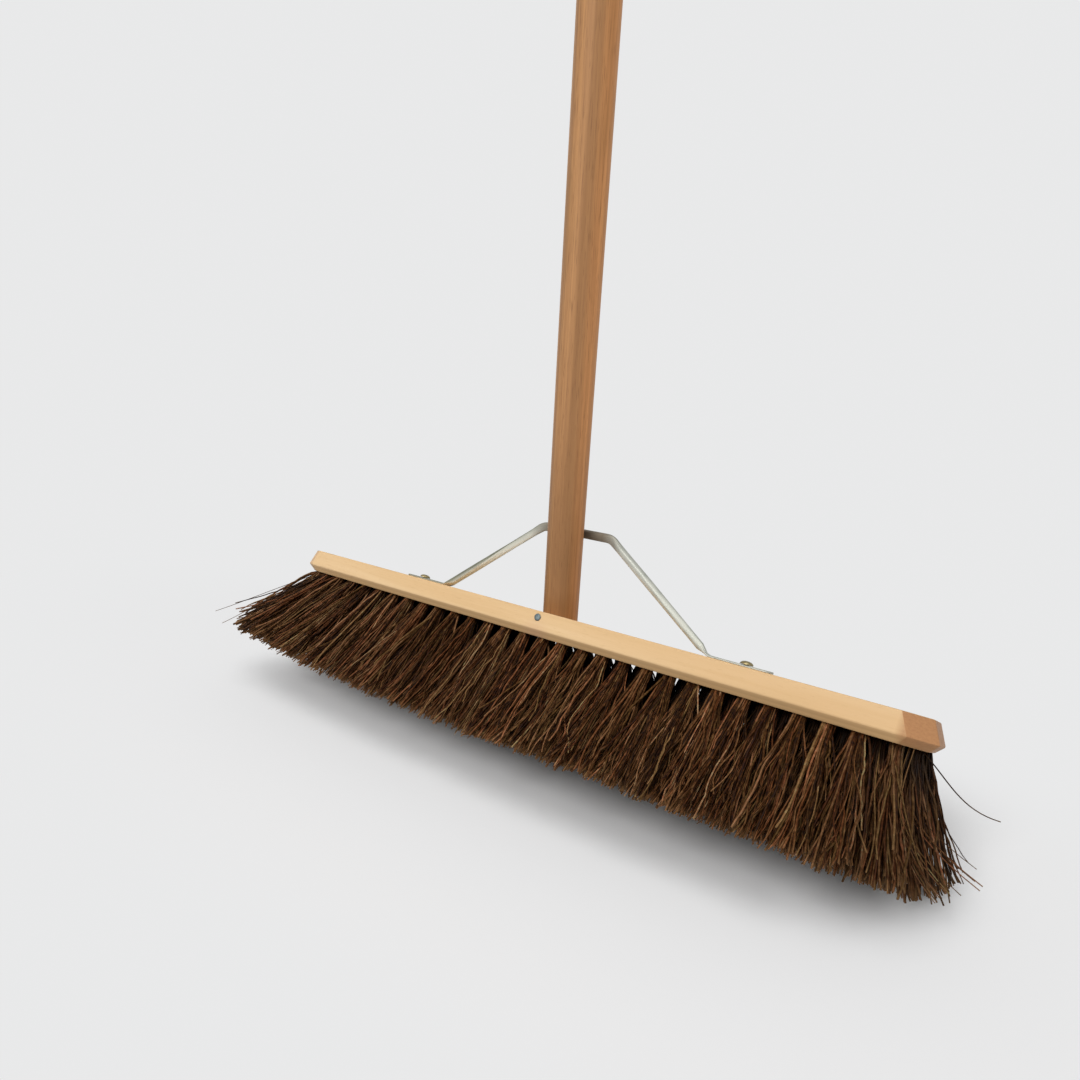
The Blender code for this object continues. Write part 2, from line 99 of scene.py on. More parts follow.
# Tips within a tuft: locks of fibres hold together, and each fibre strays from its lock.
LOCKS = 7
LOOSE_ALONG = 0.0046
TIGHT_ALONG = 0.0024
LOCK_ACROSS = 0.0066
FIBRE_ACROSS = 0.0046
INWARD_SPREAD = 2.7
WANDERERS = 0.18
WANDER = (0.0125, 0.0060)
RIGHT_REACH = 0.0065
LEFT_REACH = 0.0090
SIDE_REACH = 0.0060
DROP_SCATTER = 0.0013
SHORT_FIBRES = 0.15
SHORT_BY = (0.002, 0.022)

# Fibres, drawn at random from one seed, more of them in the first columns.
SEED = 41
FIBRES_PER_TUFT = 82
FULLER_COLUMNS = 6
FULLER_BY = 20
ROOT_DEPTH = 0.0012
WAVE = 0.00078
KINK = 0.00015
KINK_LIMIT = 0.0006
CURL = 0.0020
CURL_START = 0.72
FIBRE_RADIUS = 0.00067
FIBRE_RADIUS_LIMITS = (0.00036, 0.00090)
TIP_TAPER = 0.22
STATIONS = 18
SIDES = 4
END_STRAYS = 15
COLUMNS_PER_PIECE = 3

# How high above the floor every fibre stops, and how far past the CAD's box fibres may reach.
FLOOR_CLEARANCE = 0.0007
BEYOND_CAD = np.array((0.0190, 0.0034, 0.0))

# Stage: what the camera and reflections see behind the broom, the floor's paint and how far out
# its shadow fades, and the lamps by name, place, diameter and the light that each gives the floor
# under the head.
BACKGROUND = (0.812, 0.815, 0.819, 1.0)
FLOOR_PAINT = (0.920, 0.923, 0.927, 1.0)
FLOOR_HALF = 60.0
SHADOW_SCALE = (1.9, 5.6, 1.0)
SHADOW_FADE = (0.9, 1.8)
WORLD_LIGHT = 0.17
LAMP_AIM = (0.0, 0.0, 0.1)
LAMPS = (
    ("front", (-2.2, -15.2, 12.8), 8.0, 1.12),
    ("top", (0.0, -9.0, 17.8), 13.0, 0.58),
    ("right", (8.4, -6.0, 17.1), 10.0, 0.67),
)


def new_material(name):
    material = bpy.data.materials.new(name)
    material.use_nodes = True
    tree = material.node_tree
    return material, tree, tree.nodes["Principled BSDF"]


def feed(tree, socket, value):
    """Links a socket to another node's output, or sets its value."""
    if isinstance(value, bpy.types.NodeSocket):
        tree.links.new(value, socket)
    else:
        socket.default_value = value


def put(socket_owner, tree, name, value):
    feed(tree, socket_owner.inputs[name], value)


def noise(tree, vector, scale, detail=4.0, roughness=0.55, distortion=0.0):
    node = tree.nodes.new("ShaderNodeTexNoise")
    put(node, tree, "Vector", vector)
    put(node, tree, "Scale", scale)
    put(node, tree, "Detail", detail)
    put(node, tree, "Roughness", roughness)
    put(node, tree, "Distortion", distortion)
    return node.outputs["Fac"]


def stretch(tree, vector, scale):
    node = tree.nodes.new("ShaderNodeMapping")
    put(node, tree, "Vector", vector)
    put(node, tree, "Scale", scale)
    return node.outputs["Vector"]


def grain(tree, vector, stretched, detail, roughness=0.55, distortion=0.0):
    """Noise drawn out along the wood or the fibre, by its scale along each axis."""
    return noise(tree, stretch(tree, vector, stretched), 1.0, detail, roughness, distortion)


def remap(tree, value, low, high, to_low=0.0, to_high=1.0):
    node = tree.nodes.new("ShaderNodeMapRange")
    put(node, tree, "Value", value)
    put(node, tree, "From Min", low)
    put(node, tree, "From Max", high)
    put(node, tree, "To Min", to_low)
    put(node, tree, "To Max", to_high)
    return node.outputs["Result"]


def maths(tree, operation, first, second=0.0):
    node = tree.nodes.new("ShaderNodeMath")
    node.operation = operation
    for socket, value in zip(node.inputs, (first, second)):
        feed(tree, socket, value)
    return node.outputs["Value"]


def added(tree, first, second):
    return maths(tree, "ADD", first, second)


def times(tree, first, second):
    return maths(tree, "MULTIPLY", first, second)


def mixed(tree, share, first, second, blend="MIX"):
    node = tree.nodes.new("ShaderNodeMix")
    node.data_type = "RGBA"
    node.blend_type = blend
    slots = {socket.identifier: socket for socket in node.inputs}
    for key, value in (("Factor_Float", share), ("A_Color", first), ("B_Color", second)):
        feed(tree, slots[key], value)
    return next(s for s in node.outputs if s.identifier == "Result_Color")


def over(tree, colour, other, mask, low, high, most):
    """The colour with another over it, from none where the mask is low to most where it is high."""
    return mixed(tree, remap(tree, mask, low, high, 0.0, most), colour, (*other, 1.0))


def scaled(tree, colour, factors):
    return mixed(tree, 1.0, colour, (*factors, 1.0), "MULTIPLY")


def ramp(tree, value, stops):
    node = tree.nodes.new("ShaderNodeValToRGB")
    put(node, tree, "Fac", value)
    elements = node.color_ramp.elements
    while len(elements) < len(stops):
        elements.new(0.5)
    for element, (place, colour) in zip(elements, stops):
        element.position = place
        element.color = (*colour, 1.0)
    return node.outputs["Color"]


def bump(tree, height, distance, strength=1.0):
    node = tree.nodes.new("ShaderNodeBump")
    put(node, tree, "Height", height)
    put(node, tree, "Distance", distance)
    put(node, tree, "Strength", strength)
    return node.outputs["Normal"]


def object_coordinates(tree):
    return tree.nodes.new("ShaderNodeTexCoord").outputs["Object"]


def parts_of(tree, vector):
    node = tree.nodes.new("ShaderNodeSeparateXYZ")
    tree.links.new(vector, node.inputs["Vector"])
    return node.outputs["X"], node.outputs["Y"], node.outputs["Z"]


def normal_parts(tree):
    return parts_of(tree, tree.nodes.new("ShaderNodeTexCoord").outputs["Normal"])


def head_place(tree, vector, direction):
    """How far a point lies from the middle of the stock's top, along one of the head's axes."""
    node = tree.nodes.new("ShaderNodeVectorMath")
    node.operation = "DOT_PRODUCT"
    tree.links.new(vector, node.inputs[0])
    node.inputs[1].default_value = direction
    return maths(tree, "SUBTRACT", node.outputs["Value"], float(SEAT @ np.array(direction)))


def spot(tree, vector, centre, near, far):
    """One at the centre point and within near of it, falling to nothing at far."""
    node = tree.nodes.new("ShaderNodeVectorMath")
    node.operation = "DISTANCE"
    tree.links.new(vector, node.inputs[0])
    node.inputs[1].default_value = centre
    return remap(tree, node.outputs["Value"], near, far, 1.0, 0.0)


def pale_wood():
    """Bare beech with end grain at the cut corners, painted light on the left end, painted shade
    on the right end, its cut corner and the chamfer, deepest at the chamfer's top edge.
    """
    material, tree, shader = new_material("pale_beech")
    place = object_coordinates(tree)
    world_x = parts_of(tree, place)[0]
    streaks = grain(tree, place, (7.0, 230.0, 230.0), 6.0, 0.62, 0.3)
    bands = grain(tree, place, (1.6, 34.0, 34.0), 3.0, 0.5, 0.6)
    clouds = grain(tree, place, (9.0, 22.0, 22.0), 2.0)
    flecks = grain(tree, place, (150.0, 1100.0, 1100.0), 2.0, 0.5)
    colour = ramp(tree, bands, ((0.30, (0.750, 0.488, 0.250)), (0.52, (0.795, 0.535, 0.290)),
                                (0.75, (0.840, 0.590, 0.345))))
    colour = over(tree, colour, (0.640, 0.385, 0.170), streaks, 0.45, 0.72, 0.34)
    colour = over(tree, colour, (0.770, 0.470, 0.235), clouds, 0.50, 0.72, 0.30)
    colour = over(tree, colour, (0.520, 0.280, 0.120), flecks, 0.60, 0.76, 0.28)
    # Darker and more orange towards the right end: painted shade, where the light falls off.
    colour = over(tree, colour, (0.670, 0.410, 0.200), world_x, 0.02, 0.30, 0.34)

    normal_x, normal_y, normal_z = normal_parts(tree)
    # End-grain colour: full at the right end and its cut corner, where it is also painted shade, and
    # only about a third of it at the left end, as painted light.
    right_end_grain_and_shade = remap(tree, normal_x, 0.30, 0.50)
    left_end_grain_and_light = remap(tree, normal_x, -0.30, -0.50, 0.0, 0.35)
    right_corner_grain_and_shade = remap(tree, world_x, 0.2745, 0.2795, 0.0, 0.75)
    right_corner_grain_and_shade = times(tree, right_corner_grain_and_shade, remap(tree, normal_y, -0.2, -0.5))
    end = added(tree, added(tree, right_end_grain_and_shade, left_end_grain_and_light), right_corner_grain_and_shade)
    pores = grain(tree, place, (60.0, 900.0, 900.0), 3.0)
    end_colour = ramp(tree, pores, ((0.30, (0.420, 0.195, 0.085)), (0.70, (0.500, 0.245, 0.105))))
    colour = mixed(tree, end, colour, end_colour)

    # Painted shade on the downward-facing chamfer, less where there is end grain, with a painted
    # shadow along its top edge like a crease.
    downward_painted_shade = times(tree, remap(tree, end, 0.0, 1.0, 1.0, 0.25), remap(tree, normal_z, -0.10, -0.30))
    height = head_place(tree, place, HEAD_UP)
    groove_painted_shadow = times(tree, remap(tree, height, UNDERSIDE + 0.0022, UNDERSIDE + 0.0034), 0.62)
    chamfer_shade_colour = mixed(tree, groove_painted_shadow, (0.620, 0.370, 0.165, 1.0), (0.300, 0.150, 0.055, 1.0))
    colour = mixed(tree, times(tree, downward_painted_shade, 0.62), colour, chamfer_shade_colour)
    stain = times(tree, spot(tree, place, NAIL, 0.002, 0.016), 0.30)
    colour = mixed(tree, stain, colour, (0.560, 0.290, 0.215, 1.0))
    put(shader, tree, "Base Color", scaled(tree, colour, (0.90, 0.92, 0.91)))
    put(shader, tree, "Roughness", remap(tree, streaks, 0.3, 0.7, 0.50, 0.64))
    put(shader, tree, "Specular IOR Level", 0.32)
    relief = added(tree, times(tree, streaks, 0.5), times(tree, flecks, -0.5))
    put(shader, tree, "Normal", bump(tree, relief, 0.00018, 0.55))
    return material


def brown_wood():
    """Brown hardwood with long grain, with painted shade at the handle's foot and on its left side,
    and painted light on its right side.
    """
    material, tree, shader = new_material("brown_hardwood")
    place = object_coordinates(tree)
    bands = grain(tree, place, (74.0, 74.0, 1.1), 3.0, 0.5, 0.9)
    fine = grain(tree, place, (700.0, 700.0, 9.0), 4.0, 0.6)
    dashes = grain(tree, place, (1500.0, 1500.0, 75.0), 2.0)
    slow = grain(tree, place, (10.0, 10.0, 4.0), 2.0)
    stain = grain(tree, place, (40.0, 40.0, 8.0), 3.0, 0.6)
    colour = ramp(tree, bands, ((0.28, (0.300, 0.145, 0.056)), (0.48, (0.425, 0.212, 0.086)),
                                (0.62, (0.505, 0.258, 0.106)), (0.80, (0.580, 0.305, 0.122))))
    colour = over(tree, colour, (0.235, 0.108, 0.046), fine, 0.42, 0.72, 0.50)
    colour = over(tree, colour, (0.150, 0.064, 0.026), dashes, 0.56, 0.70, 0.48)
    colour = over(tree, colour, (0.520, 0.280, 0.150), slow, 0.45, 0.75, 0.24)
    colour = over(tree, colour, (0.270, 0.140, 0.052), stain, 0.55, 0.72, 0.40)
    # Painted shade at the handle's foot, where it meets the stock.
    colour = over(tree, colour, (0.190, 0.085, 0.026), parts_of(tree, place)[2], 0.300, 0.190, 0.38)
    # Painted light on the handle's right side and painted shade on its left side.
    facing = normal_parts(tree)[0]
    painted_light_right = scaled(tree, colour, (1.42, 1.28, 1.14))
    colour = mixed(tree, remap(tree, facing, 0.66, 0.98), colour, painted_light_right)
    painted_shade_left = scaled(tree, colour, (0.90, 0.90, 0.88))
    colour = mixed(tree, remap(tree, facing, -0.10, -0.50), colour, painted_shade_left)
    put(shader, tree, "Base Color", colour)
    put(shader, tree, "Roughness", remap(tree, fine, 0.3, 0.7, 0.44, 0.58))
    put(shader, tree, "Specular IOR Level", 0.28)
    relief = added(tree, times(tree, fine, 0.5), times(tree, dashes, -0.6))
    put(shader, tree, "Normal", bump(tree, relief, 0.00016, 0.5))
    return material


def bright_steel():
    """Dull zinc plate: painted shade on top of the left leg, painted reflection of the bright floor
    below both legs, and painted shade and reflection of the handle at the saddle.
    """
    material, tree, shader = new_material("zinc_steel")
    place = object_coordinates(tree)
    cloud = noise(tree, place, 90.0, 4.0, 0.6)
    grit = noise(tree, place, 900.0, 3.0, 0.6)
    facing = normal_parts(tree)[2]
    # Painted reflection of the bright floor on the legs' undersides, against painted shade on top,
    # strongest on the left leg.
    floor_reflection_colour = (0.860, 0.850, 0.760)
    right_leg = ramp(tree, cloud, ((0.3, (0.35, 0.36, 0.32)), (0.7, (0.48, 0.48, 0.43))))
    right_leg = over(tree, right_leg, floor_reflection_colour, facing, 0.20, -0.35, 0.80)
    left_leg = ramp(tree, cloud, ((0.3, (0.18, 0.18, 0.13)), (0.7, (0.25, 0.25, 0.19))))
    left_leg = over(tree, left_leg, floor_reflection_colour, facing, 0.55, -0.20, 0.95)
    colour = mixed(tree, remap(tree, parts_of(tree, place)[0], -0.03, -0.06), right_leg, left_leg)
    # Painted shade and a painted reflection of the brown handle on the stay around the saddle.
    saddle_shade_and_reflection = times(tree, spot(tree, place, SADDLE, 0.026, 0.046), 0.80)
    put(shader, tree, "Base Color", mixed(tree, saddle_shade_and_reflection, colour, (0.150, 0.110, 0.070, 1.0)))
    put(shader, tree, "Metallic", 1.0)
    put(shader, tree, "Roughness", remap(tree, cloud, 0.3, 0.7, 0.58, 0.72))
    put(shader, tree, "Normal", bump(tree, grit, 0.00004, 0.3))
    return material


def screw_metal(name, low, high, roughness):
    material, tree, shader = new_material(name)
    cloud = noise(tree, object_coordinates(tree), 420.0, 4.0, 0.65)
    put(shader, tree, "Base Color", ramp(tree, cloud, ((0.35, low), (0.65, high))))
    put(shader, tree, "Metallic", 1.0)
    put(shader, tree, "Roughness", remap(tree, cloud, 0.3, 0.7, roughness, roughness + 0.14))
    return material


def fibre_material():
    """Palm fibre coloured by each fibre's tint, with painted shade among the inner roots
    and towards the right end.
    """
    material, tree, shader = new_material("piassava_fibre")
    place = object_coordinates(tree)
    tint = tree.nodes.new("ShaderNodeAttribute")
    tint.attribute_name = "tint"
    along = tree.nodes.new("ShaderNodeAttribute")
    along.attribute_name = "along"
    mottle = grain(tree, place, (260.0, 260.0, 120.0), 3.0)
    blotch = grain(tree, place, (420.0, 420.0, 300.0), 2.0)
    value = added(tree, tint.outputs["Fac"], remap(tree, mottle, 0.3, 0.7, -0.13, 0.13))
    value = added(tree, value, remap(tree, blotch, 0.35, 0.65, -0.12, 0.12))
    colour = ramp(tree, value, ((0.00, (0.012, 0.0032, 0.0004)), (0.26, (0.058, 0.0205, 0.0044)),
                                (0.48, (0.128, 0.0560, 0.0190)), (0.66, (0.185, 0.0930, 0.0400)),
                                (0.79, (0.255, 0.1100, 0.0500)), (0.92, (0.310, 0.2050, 0.1050))))

    own = tree.nodes.new("ShaderNodeTexWhiteNoise")
    own.noise_dimensions = "1D"
    tree.links.new(times(tree, tint.outputs["Fac"], 971.0), own.inputs["W"])
    red = times(tree, remap(tree, own.outputs["Value"], 0.72, 0.78), 0.55)
    colour = mixed(tree, red, colour, scaled(tree, colour, (1.30, 0.84, 0.76)))
    olive = times(tree, remap(tree, own.outputs["Value"], 0.26, 0.20), 0.60)
    colour = mixed(tree, olive, colour, scaled(tree, colour, (0.82, 1.05, 0.80)))

    # Painted shade among the roots of the inner rows.
    inside = remap(tree, maths(tree, "ABSOLUTE", head_place(tree, place, HEAD_BACK)), 0.0195, 0.0165)
    high = remap(tree, head_place(tree, place, HEAD_UP), UNDERSIDE - 0.040, UNDERSIDE - 0.012)
    inner_root_painted_shade = times(tree, times(tree, inside, high), 0.80)
    colour = mixed(tree, inner_root_painted_shade, colour, (0.006, 0.0030, 0.0016, 1.0))
    world_x = parts_of(tree, place)[0]
    # Painted shade on the fibres towards the right end.
    colour = over(tree, colour, (0.008, 0.0030, 0.0012), world_x, 0.240, 0.305, 0.38)
    colour = over(tree, colour, (0.24, 0.130, 0.050), along.outputs["Fac"], 0.94, 1.0, 0.25)
    put(shader, tree, "Base Color", colour)
    put(shader, tree, "Roughness", remap(tree, mottle, 0.3, 0.7, 0.46, 0.66))
    put(shader, tree, "Specular IOR Level", 0.10)
    return material


def floor_material():
    """A matt floor that keeps the shadow and fades into the background's own colour."""
    material, tree, shader = new_material("studio_floor")
    tree.nodes.remove(shader)
    matt = tree.nodes.new("ShaderNodeBsdfDiffuse")
    matt.inputs["Color"].default_value = FLOOR_PAINT
    glow = tree.nodes.new("ShaderNodeEmission")
    glow.inputs["Color"].default_value = BACKGROUND
    glow.inputs["Strength"].default_value = 1.0
    distance = tree.nodes.new("ShaderNodeVectorMath")
    distance.operation = "LENGTH"
    tree.links.new(stretch(tree, object_coordinates(tree), SHADOW_SCALE), distance.inputs[0])
    far = tree.nodes.new("ShaderNodeMapRange")
    far.interpolation_type = "SMOOTHSTEP"
    far.inputs["From Min"].default_value = SHADOW_FADE[0]
    far.inputs["From Max"].default_value = SHADOW_FADE[1]
    tree.links.new(distance.outputs["Value"], far.inputs["Value"])
    blend = tree.nodes.new("ShaderNodeMixShader")
    tree.links.new(far.outputs["Result"], blend.inputs["Fac"])
    tree.links.new(matt.outputs["BSDF"], blend.inputs[1])
    tree.links.new(glow.outputs["Emission"], blend.inputs[2])
    tree.links.new(blend.outputs["Shader"], tree.nodes["Material Output"].inputs["Surface"])
    return material


def shade_round(obj, limit):
    """Shades the faceted rounds smooth by its normals; every vertex stays where it is."""
    mesh = obj.data
    count = len(mesh.polygons)
    corners = np.zeros(len(mesh.loops), int)
    mesh.loops.foreach_get("vertex_index", corners)
    points = np.zeros(len(mesh.vertices) * 3)
    mesh.vertices.foreach_get("co", points)
    points = points.reshape(-1, 3)[corners]
    faces = points.reshape(count, 3, 3)
    cross = np.cross(faces[:, 1] - faces[:, 0], faces[:, 2] - faces[:, 0])
    area = np.maximum(np.linalg.norm(cross, axis=1, keepdims=True), 1e-15)
    flat = cross / area
    keys = np.unique(np.round(points * 1e6).astype(np.int64), axis=0, return_inverse=True)[1].ravel()
    order = np.argsort(keys, kind="stable")
    edges = np.flatnonzero(np.diff(keys[order])) + 1
    shaded = np.zeros_like(points)
    for group in np.split(order, edges):
        owners = group // 3
        near = flat[owners] @ flat[owners].T > math.cos(limit)
        shaded[group] = near @ (flat[owners] * np.sqrt(area[owners]))
    shaded /= np.maximum(np.linalg.norm(shaded, axis=1, keepdims=True), 1e-15)
    for polygon in mesh.polygons:
        polygon.use_smooth = True
    mesh.normals_split_custom_set([tuple(row) for row in shaded])


def finish_cad():
    """Gives the CAD pieces that stay their materials, and returns the stock's."""
    steel = bright_steel()
    brass = screw_metal("dull_brass", (0.16, 0.125, 0.055), (0.36, 0.29, 0.15), 0.38)
    blue = screw_metal("blued_nail", (0.10, 0.13, 0.14), (0.23, 0.27, 0.27), 0.62)
    finishes = {"handle": brown_wood(), "stock": pale_wood(), "stay": steel, "foot_screw_left": brass,
                "foot_screw_right": brass, "saddle_screw": brass, "locking_nail": blue}
    for name, material in finishes.items():
        obj = NODES[name]
        obj.material_slots[0].material = material
        shade_round(obj, math.radians(20.0 if name == "stock" else 34.0))
    return finishes["stock"]


def to_world(points):
    """Head frame to world: the head leans back, so its own down goes back and down."""
    c = math.cos(-LEAN)
    s = math.sin(-LEAN)
    x, y, z = points[..., 0], points[..., 1], points[..., 2]
    return np.stack((x, y * c - z * s, y * s + z * c), axis=-1) + SEAT


def column_x(column):
    return (column - (COLUMNS - 1) / 2) * PITCH


def make_bed(material):
    """The wooden underside that the tufts are set in, one slab in place of the solids' slices."""
    half = COLUMNS / 2 * PITCH - BED_INSET
    inner = half - PITCH
    wide = BED_HALF_WIDTH
    end = BED_END_HALF_WIDTH
    outline = [(-half, -end), (-inner, -end), (-inner, -wide), (inner, -wide), (inner, -end),
               (half, -end), (half, end), (inner, end), (inner, wide), (-inner, wide),
               (-inner, end), (-half, end)]
    low = [(x, y, UNDERSIDE) for x, y in outline]
    high = [(x, y, UNDERSIDE + BED_THICKNESS) for x, y in outline]
    count = len(outline)
    faces = [tuple(reversed(range(count))), tuple(range(count, 2 * count))]
    faces += [(i, (i + 1) % count, count + (i + 1) % count, count + i) for i in range(count)]
    mesh = bpy.data.meshes.new("tuft_bed")
    mesh.from_pydata(to_world(np.array(low + high)).tolist(), [], faces)
    mesh.materials.append(material)
    bed = bpy.data.objects.new("tuft_bed", mesh)
    bpy.context.scene.collection.objects.link(bed)
    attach(bed, "root")


def tuft_lean(rng, share, across, row):
    """How far a tuft's tips stand out from its root, along and across the stock."""
    if share < 0:
        along_lean = -FLARE_LEFT * abs(share) ** 2.6
    else:
        along_lean = FLARE_RIGHT * share ** 7
    across_lean = FLARE_ACROSS * across / ROWS[-1]
    if row > 1:
        across_lean *= 1.0 - 0.38 * max(-share, 0.0) ** 6
    scatter = TUFT_SCATTER_ALONG if abs(share) < OUTER_SHARE else END_TUFT_SCATTER_ALONG
    along_lean += rng.normal(0.0, scatter)
    across_lean += rng.normal(0.0, TUFT_SCATTER_ACROSS)
    return along_lean, across_lean


def tip_offsets(rng, share, across, row, count):
    """Where each tip lies from the tuft's own line: by its lock, its own spread and a few wanderers.

    At the two ends and in the outer rows, tips that stand out past a reach are drawn back towards
    it, all or most of the way, so that the outline holds.
    """
    lock = rng.integers(0, LOCKS, count)
    near_end = abs(share) > NEAR_END_SHARE
    lock_along, own_along = (TIGHT_ALONG, LOOSE_ALONG) if near_end else (LOOSE_ALONG, TIGHT_ALONG)
    lock_tip = rng.normal(0.0, 1.0, (LOCKS, 2)) * (lock_along, LOCK_ACROSS)
    own = rng.normal(0.0, 1.0, (count, 2)) * (own_along, FIBRE_ACROSS)
    inward = own[:, 1] * across < 0.0
    own[inward | (row in (1, 2)), 1] *= INWARD_SPREAD
    wander = rng.uniform(0.0, 1.0, count) < WANDERERS
    own[wander] += rng.normal(0.0, 1.0, (int(wander.sum()), 2)) * WANDER

    outward = (lock_tip[lock] + own)[:, 0] * np.sign(share)
    reach = RIGHT_REACH if share > 0 else LEFT_REACH
    excess = np.maximum(outward - reach, 0.0) * (1.0 if abs(share) > OUTER_SHARE else 0.0)
    excess[rng.uniform(0.0, 1.0, count) < 0.09] *= 0.4
    own[:, 0] -= excess * np.sign(share)
    outward = (lock_tip[lock] + own)[:, 1] * np.sign(across)
    excess = np.maximum(outward - SIDE_REACH, 0.0) * (0.85 if row in (0, 3) else 0.0)
    own[:, 1] -= excess * np.sign(across)
    return lock_tip[lock] + own


def tip_drops(rng, tip, share, across, narrow, along_lean):
    """How far each tip ends below the stock's underside, with some fibres cut short."""
    if share < 0:
        lift = LEFT_LIFT * abs(share) ** 4
    else:
        lift = float(np.interp(share, LIFT_PLACES, LIFTS))
    count = len(tip)
    tip_rows = np.array(ROWS) * narrow * (1.0 + FLARE_ACROSS / ROWS[-1])
    drop = np.interp(across + tip[:, 1], tip_rows, ROW_DROPS) - lift
    drop = drop + rng.normal(0.0, DROP_SCATTER, count)
    splay = np.maximum(tip[:, 0] * np.sign(share) - abs(along_lean) - 0.001, 0.0)
    drop -= splay * (1.4 if share > NEAR_END_SHARE else 0.5)
    short = rng.uniform(0.0, 1.0, count) < SHORT_FIBRES
    drop[short] -= rng.uniform(*SHORT_BY, int(short.sum()))
    return drop


def with_waves(rng, plan, t):
    """Adds slow waves, small kinks and a curled end to the fibres' plan."""
    count = len(plan)
    phase = rng.uniform(0.0, 2 * math.pi, (count, 2))[:, None, :]
    pace = rng.uniform(3.5, 9.0, (count, 2))[:, None, :]
    size = rng.gamma(2.2, WAVE, (count, 2))[:, None, :]
    plan = plan + size * (np.sin(phase + pace * t) - np.sin(phase)) * t ** 0.6
    rough = rng.normal(0.0, 1.0, (count, STATIONS + 1, 2))
    rough = (rough[:, 1:] + rough[:, :-1]).clip(-2.6, 2.6)
    kinks = rng.gamma(2.0, KINK, (count, 1, 2)).clip(0.0, KINK_LIMIT)
    plan = plan + kinks * rough * np.minimum(t * 4.0, 1.0)
    curl = rng.normal(0.0, CURL, (count, 2))[:, None, :]
    return plan + curl * np.maximum(t - CURL_START, 0.0) ** 2 / 0.28 ** 2


def tuft_paths(rng, x, row, narrow, count):
    """Centre lines of one tuft's fibres in the head frame, with their radius and tint."""
    share = x / column_x(COLUMNS - 1)
    across = ROWS[row] * narrow
    lean = tuft_lean(rng, share, across, row)
    angle = rng.uniform(0.0, 2 * math.pi, count)
    distance = ROW_RADII[row] * np.sqrt(rng.uniform(0.0, 1.0, count))
    seat = np.stack((distance * np.cos(angle), distance * np.sin(angle)), axis=-1)
    tip = tip_offsets(rng, share, across, row, count) + seat * 0.8 + lean
    drop = tip_drops(rng, tip, share, across, narrow, lean[0])

    t = np.linspace(0.0, 1.0, STATIONS)[None, :, None]
    late = 0.35 if share > LAST_SHARE else 0.0
    bow = (rng.normal(ROW_BOWS[row], 0.13, count).clip(0.65, 1.5) + late)[:, None, None]
    plan = with_waves(rng, seat[:, None, :] + tip[:, None, :] * t ** bow, t)
    down = UNDERSIDE + ROOT_DEPTH - (drop[:, None] + ROOT_DEPTH) * t[:, :, 0]
    points = np.concatenate((plan, down[:, :, None]), axis=2) + np.array((x, across, 0.0))

    radii = rng.lognormal(math.log(FIBRE_RADIUS), 0.28, count).clip(*FIBRE_RADIUS_LIMITS)
    shade = rng.normal(0.0, 0.03)
    tints = (0.94 * rng.beta(1.2, 2.2, count) + shade).clip(0.0, 0.88)
    return points, radii, tints


def stray_paths(rng):
    """The long fibres that stand clear of both ends, by points in the head frame."""
    strays = (
        ((0.2880, -0.0080, -0.0200), (0.3060, -0.0140, -0.0330),
         (0.3220, -0.0180, -0.0440), (0.3412, -0.0220, -0.0480)),
        ((-0.2860, -0.0130, -0.0200), (-0.3040, -0.0420, -0.0440),
         (-0.3250, -0.0660, -0.0680), (-0.3480, -0.0850, -0.0895)),
        ((-0.2850, -0.0140, -0.0200), (-0.3020, -0.0420, -0.0480),
         (-0.3200, -0.0640, -0.0760), (-0.3390, -0.0800, -0.0995)),
    )
    t = np.linspace(0.0, 1.0, STATIONS)
    lines = []
    for points in strays:
        known = np.linspace(0.0, 1.0, len(points))
        curve = np.polynomial.polynomial.polyfit(known, np.array(points), 3)
        lines.append(np.polynomial.polynomial.polyval(t, curve).T)
    count = END_STRAYS
    foot = np.array((0.2855, -0.0060, -0.0200)) + rng.normal(0.0, 1.0, (count, 3)) * (0.0010, 0.0110, 0.0)
    reach = rng.uniform(0.0, 1.0, count)
    tip = np.stack((0.3180 + 0.0270 * reach, foot[:, 1] - 0.0300 + rng.normal(0.0, 0.010, count),
                    -0.1030 + 0.0200 * reach + rng.normal(0.0, 0.0045, count)), axis=-1)
    share = np.stack((t ** 3.4, t ** 1.6, t), axis=-1)
    end_lines = foot[:, None, :] + (tip - foot)[:, None, :] * share[None, :, :]
    lines = np.concatenate((np.array(lines), end_lines))
    radii = np.concatenate(((0.00044, 0.00030, 0.00032), rng.uniform(0.00032, 0.00052, count)))
    tints = np.concatenate(((0.34, 0.34, 0.50), rng.uniform(0.20, 0.90, count)))
    return lines, radii, tints


def above_floor(points):
    """Cuts each fibre at the floor, by drawing its stations back along its own line."""
    lowest = points[:, :, 2].min(axis=1)
    top = points[:, 0, 2]
    keep = np.where(lowest < FLOOR_CLEARANCE,
                    (top - FLOOR_CLEARANCE) / np.maximum(top - lowest, 1e-9), 1.0)
    stations = np.linspace(0.0, 1.0, points.shape[1])
    for i in np.flatnonzero(keep < 1.0):
        wanted = stations * keep[i]
        points[i] = np.stack([np.interp(wanted, stations, points[i, :, k]) for k in range(3)], axis=-1)
        points[i, :, 2] = np.maximum(points[i, :, 2], FLOOR_CLEARANCE)
    return points


